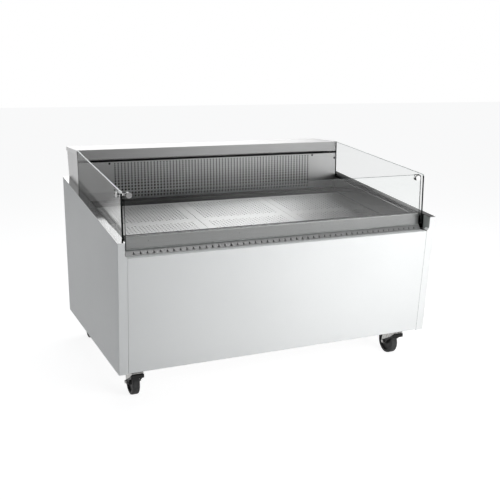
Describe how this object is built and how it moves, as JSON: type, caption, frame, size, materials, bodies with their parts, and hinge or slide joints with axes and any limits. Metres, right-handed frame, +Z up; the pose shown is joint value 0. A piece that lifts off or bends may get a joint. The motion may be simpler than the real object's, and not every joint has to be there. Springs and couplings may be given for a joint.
{
  "type": "refrigerated fish display case",
  "caption": "White fish display case on braked castors: sloping glass-walled well with perforated deck plates, front air rail and a raised rear cooling head.",
  "frame": {"origin": "middle of the case's bounding box, on the floor under the castors", "axes": "+X across the width to the customer's right, +Y from the customer's side to the rear, +Z up"},
  "size_m": [1.5, 1.118, 1],
  "materials": {
    "white_panel": "satin white powder coat",
    "stainless": "brushed stainless steel",
    "deck_steel": "brushed stainless steel",
    "well_liner": "stainless liner over foam",
    "clear_glass": "clear toughened",
    "polished_steel": "polished",
    "zinc_steel": "zinc plated",
    "fork_zinc": "bright zinc plated",
    "wheel_rubber": "black rubber tread",
    "pedal_plastic": "black moulded",
    "fan_plastic": "black moulded",
    "motor_black": "black enamel",
    "fin_aluminium": "bare fins",
    "copper_pipe": "bare copper",
    "drain_plastic": "grey pipe",
    "control_plastic": "black moulded"
  },
  "bodies": {
    "cabinet": {"base_frame": "zinc_steel", "cable_gland": "control_plastic", "castor_plates": "zinc_steel", "compressor": "motor_black", "condenser_coil": "fin_aluminium", "condenser_shroud": "zinc_steel", "control_box": "control_plastic", "deck_bearers": "stainless", "deck_plate_centre": "deck_steel", "deck_plate_left": "deck_steel", "deck_plate_right": "deck_steel", "discharge_panel": "stainless", "drain_pipe": "drain_plastic", "drip_tray": "stainless", "end_lining_left": "stainless", "end_lining_right": "stainless", "end_panel_left": "white_panel", "end_panel_right": "white_panel", "evaporator_coil": "fin_aluminium", "fan_motors": "motor_black", "fan_plate": "zinc_steel", "front_glass": "clear_glass", "front_panel": "white_panel", "front_rail": "stainless", "glass_channel_left": "stainless", "glass_channel_right": "stainless", "glass_clamp_left": "polished_steel", "glass_clamp_right": "polished_steel", "head_back": "white_panel", "head_cap_left": "stainless", "head_cap_right": "stainless", "head_fascia": "stainless", "head_floor": "well_liner", "head_lid": "stainless", "rear_panel": "white_panel", "refrigerant_pipe": "copper_pipe", "side_glass_left": "clear_glass", "side_glass_right": "clear_glass", "well_floor": "well_liner", "well_front_wall": "well_liner", "well_rear_wall": "well_liner"},
    "castor_front_left": {"castor_fork_front_left": "fork_zinc", "castor_axle_front_left": "fork_zinc"},
    "wheel_front_left": {"castor_wheel_front_left": "wheel_rubber"},
    "pedal_left": {"brake_pedal_left": "pedal_plastic"},
    "castor_front_right": {"castor_fork_front_right": "fork_zinc", "castor_axle_front_right": "fork_zinc"},
    "wheel_front_right": {"castor_wheel_front_right": "wheel_rubber"},
    "pedal_right": {"brake_pedal_right": "pedal_plastic"},
    "castor_rear_left": {"castor_fork_rear_left": "fork_zinc", "castor_axle_rear_left": "fork_zinc"},
    "wheel_rear_left": {"castor_wheel_rear_left": "wheel_rubber"},
    "castor_rear_right": {"castor_fork_rear_right": "fork_zinc", "castor_axle_rear_right": "fork_zinc"},
    "wheel_rear_right": {"castor_wheel_rear_right": "wheel_rubber"},
    "evaporator_fan_left": {"fan_rotor_left": "fan_plastic"},
    "evaporator_fan_right": {"fan_rotor_right": "fan_plastic"},
    "condenser_fan": {"condenser_fan_rotor": "fan_plastic"},
    "rocker": {"rocker_switch": "control_plastic"},
    "knob": {"thermostat_knob": "control_plastic"}
  },
  "joints": [
    {"name": "swivel_front_left", "type": "hinge", "parent": "cabinet", "child": "castor_front_left", "pos_m": [-0.655, -0.396, 0.135], "axis": [0, 0, 1], "continuous": true},
    {"name": "roll_front_left", "type": "hinge", "parent": "castor_front_left", "child": "wheel_front_left", "pos_m": [-0.655, -0.3555, 0.059], "axis": [1, 0, 0], "continuous": true},
    {"name": "brake_left", "type": "hinge", "parent": "castor_front_left", "child": "pedal_left", "pos_m": [-0.655, -0.3555, 0.059], "axis": [1, 0, 0], "range_deg": [0, 12]},
    {"name": "swivel_front_right", "type": "hinge", "parent": "cabinet", "child": "castor_front_right", "pos_m": [0.655, -0.396, 0.135], "axis": [0, 0, 1], "continuous": true},
    {"name": "roll_front_right", "type": "hinge", "parent": "castor_front_right", "child": "wheel_front_right", "pos_m": [0.655, -0.3555, 0.059], "axis": [1, 0, 0], "continuous": true},
    {"name": "brake_right", "type": "hinge", "parent": "castor_front_right", "child": "pedal_right", "pos_m": [0.655, -0.3555, 0.059], "axis": [1, 0, 0], "range_deg": [0, 12]},
    {"name": "swivel_rear_left", "type": "hinge", "parent": "cabinet", "child": "castor_rear_left", "pos_m": [-0.655, 0.431, 0.135], "axis": [0, 0, 1], "continuous": true},
    {"name": "roll_rear_left", "type": "hinge", "parent": "castor_rear_left", "child": "wheel_rear_left", "pos_m": [-0.655, 0.4715, 0.059], "axis": [1, 0, 0], "continuous": true},
    {"name": "swivel_rear_right", "type": "hinge", "parent": "cabinet", "child": "castor_rear_right", "pos_m": [0.655, 0.431, 0.135], "axis": [0, 0, 1], "continuous": true},
    {"name": "roll_rear_right", "type": "hinge", "parent": "castor_rear_right", "child": "wheel_rear_right", "pos_m": [0.655, 0.4715, 0.059], "axis": [1, 0, 0], "continuous": true},
    {"name": "evaporator_fan_left_spin", "type": "hinge", "parent": "cabinet", "child": "evaporator_fan_left", "pos_m": [-0.32, 0.36675, 0.848], "axis": [0, 1, 0], "continuous": true},
    {"name": "evaporator_fan_right_spin", "type": "hinge", "parent": "cabinet", "child": "evaporator_fan_right", "pos_m": [0.32, 0.36675, 0.848], "axis": [0, 1, 0], "continuous": true},
    {"name": "condenser_fan_spin", "type": "hinge", "parent": "cabinet", "child": "condenser_fan", "pos_m": [0.3, 0.37775, 0.33575], "axis": [0, 1, 0], "continuous": true},
    {"name": "mains_rocker", "type": "hinge", "parent": "cabinet", "child": "rocker", "pos_m": [-0.49, 0.521, 0.685], "axis": [1, 0, 0], "range_deg": [0, 14]},
    {"name": "thermostat_turn", "type": "hinge", "parent": "cabinet", "child": "knob", "pos_m": [-0.585, 0.5284, 0.685], "axis": [0, 1, 0], "range_deg": [0, 270]}
  ]
}
